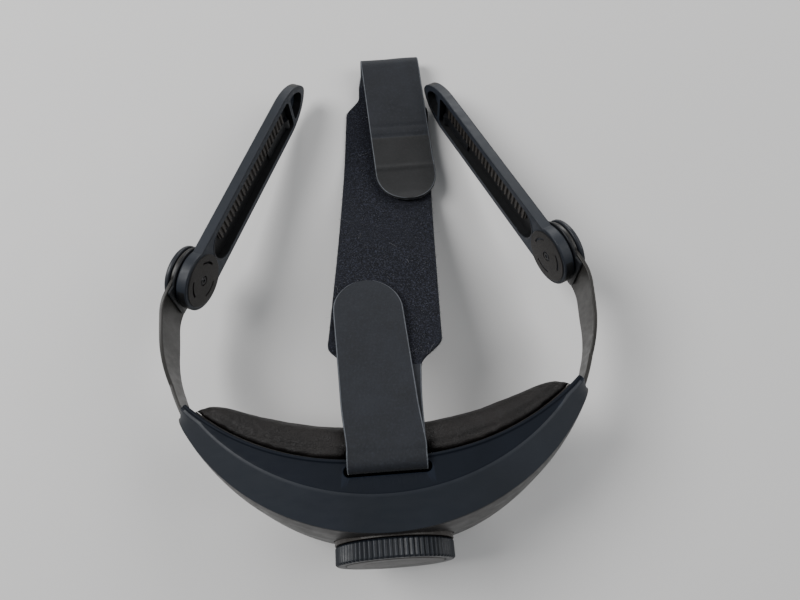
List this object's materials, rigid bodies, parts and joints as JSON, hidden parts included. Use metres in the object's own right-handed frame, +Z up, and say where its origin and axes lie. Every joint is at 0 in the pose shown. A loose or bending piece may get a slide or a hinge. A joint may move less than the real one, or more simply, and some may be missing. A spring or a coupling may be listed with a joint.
{
  "type": "vr headset head strap",
  "caption": "Rigid head strap for a VR headset: padded rear cradle with tightening dial, geared flexible bands, pivoting side arms and a loop-fabric top strap.",
  "frame": {"origin": "centre of the bounding box on the resting surface: the strap lies on its pad's lower edge and on the tips of its two arms", "axes": "+Z up, +Y from the rear cradle towards the arms' tips, +X to the wearer's right"},
  "size_m": [0.2122, 0.2912, 0.0719],
  "materials": {
    "band_black": "semi-matte black flexible plastic",
    "black_cover": "semi-matte black moulded plastic",
    "dial_black": "semi-gloss black plastic with a knurled rim",
    "face_black": "smooth black plastic face",
    "gear_white": "natural nylon-like plastic",
    "hook_tape": "black hook tape",
    "hub_dark": "plain dark plastic",
    "hub_navy": "matte dark blue-grey plastic with turned rings",
    "inner_plastic": "unseen black plastic",
    "loop_fabric": "near-black navy brushed loop fabric, smooth slate on its other face",
    "navy_shell": "matte dark blue-grey moulded plastic",
    "pad_leather": "black faux leather over foam",
    "screw_steel": "bare steel"
  },
  "bodies": {
    "cradle": {"upper_housing": "navy_shell", "outer_cover": "black_cover", "pad_carrier": "inner_plastic", "pad_backer": "inner_plastic", "rear_pad": "pad_leather", "rack_guide": "inner_plastic", "guide_screw_1": "screw_steel", "guide_screw_2": "screw_steel", "guide_screw_3": "screw_steel", "guide_screw_4": "screw_steel", "left_exit_guide": "inner_plastic", "right_exit_guide": "inner_plastic", "dial_well": "inner_plastic", "ratchet_ring": "gear_white", "top_strap": "loop_fabric", "hook_patch_front": "hook_tape", "hook_patch_rear": "hook_tape"},
    "dial": {"dial_knob": "dial_black", "dial_face_plate": "face_black", "drive_gear": "gear_white", "ratchet_pawl": "gear_white", "dial_washer": "screw_steel", "dial_screw": "screw_steel"},
    "left_band_body": {"left_band": "band_black", "left_hub_cap": "hub_navy", "left_hub_collar": "hub_dark", "left_pivot_pin": "screw_steel"},
    "left_arm_body": {"left_arm_sleeve": "navy_shell", "left_rib_insert": "inner_plastic", "left_hub_plate": "face_black", "left_latch_spring": "inner_plastic", "left_pivot_screw": "screw_steel", "left_wave_washer": "screw_steel"},
    "right_band_body": {"right_band": "band_black", "right_hub_cap": "hub_navy", "right_hub_collar": "hub_dark", "right_pivot_pin": "screw_steel"},
    "right_arm_body": {"right_arm_sleeve": "navy_shell", "right_rib_insert": "inner_plastic", "right_hub_plate": "face_black", "right_latch_spring": "inner_plastic", "right_pivot_screw": "screw_steel", "right_wave_washer": "screw_steel"}
  },
  "joints": [
    {"name": "dial_turn", "type": "hinge", "parent": "cradle", "child": "dial", "pos_m": [0, -0.13107, 0.03786], "axis": [0, 0.9704, -0.2414], "range_deg": [0, 116]},
    {"name": "left_band_draw", "type": "hinge", "parent": "cradle", "child": "left_band_body", "pos_m": [0, -0.01375, 0.04886], "axis": [0, 0.2414, 0.9704], "range_deg": [0, 8.7]},
    {"name": "right_band_draw", "type": "hinge", "parent": "cradle", "child": "right_band_body", "pos_m": [0, -0.01375, 0.04886], "axis": [0, 0.2414, 0.9704], "range_deg": [-8.7, 0]},
    {"name": "left_arm_pivot", "type": "hinge", "parent": "left_band_body", "child": "left_arm_body", "pos_m": [-0.09658, 0.0059, 0.03779], "axis": [0.9205, -0.3792, 0.0943], "range_deg": [-22.9, 32.1]},
    {"name": "right_arm_pivot", "type": "hinge", "parent": "right_band_body", "child": "right_arm_body", "pos_m": [0.09658, 0.0059, 0.03779], "axis": [0.9205, 0.3792, -0.0943], "range_deg": [-20, 35]}
  ],
  "couplings": [
    {"joint": "left_band_draw", "follows": "dial_turn", "ratio": 0.074766},
    {"joint": "right_band_draw", "follows": "dial_turn", "ratio": -0.074766}
  ]
}
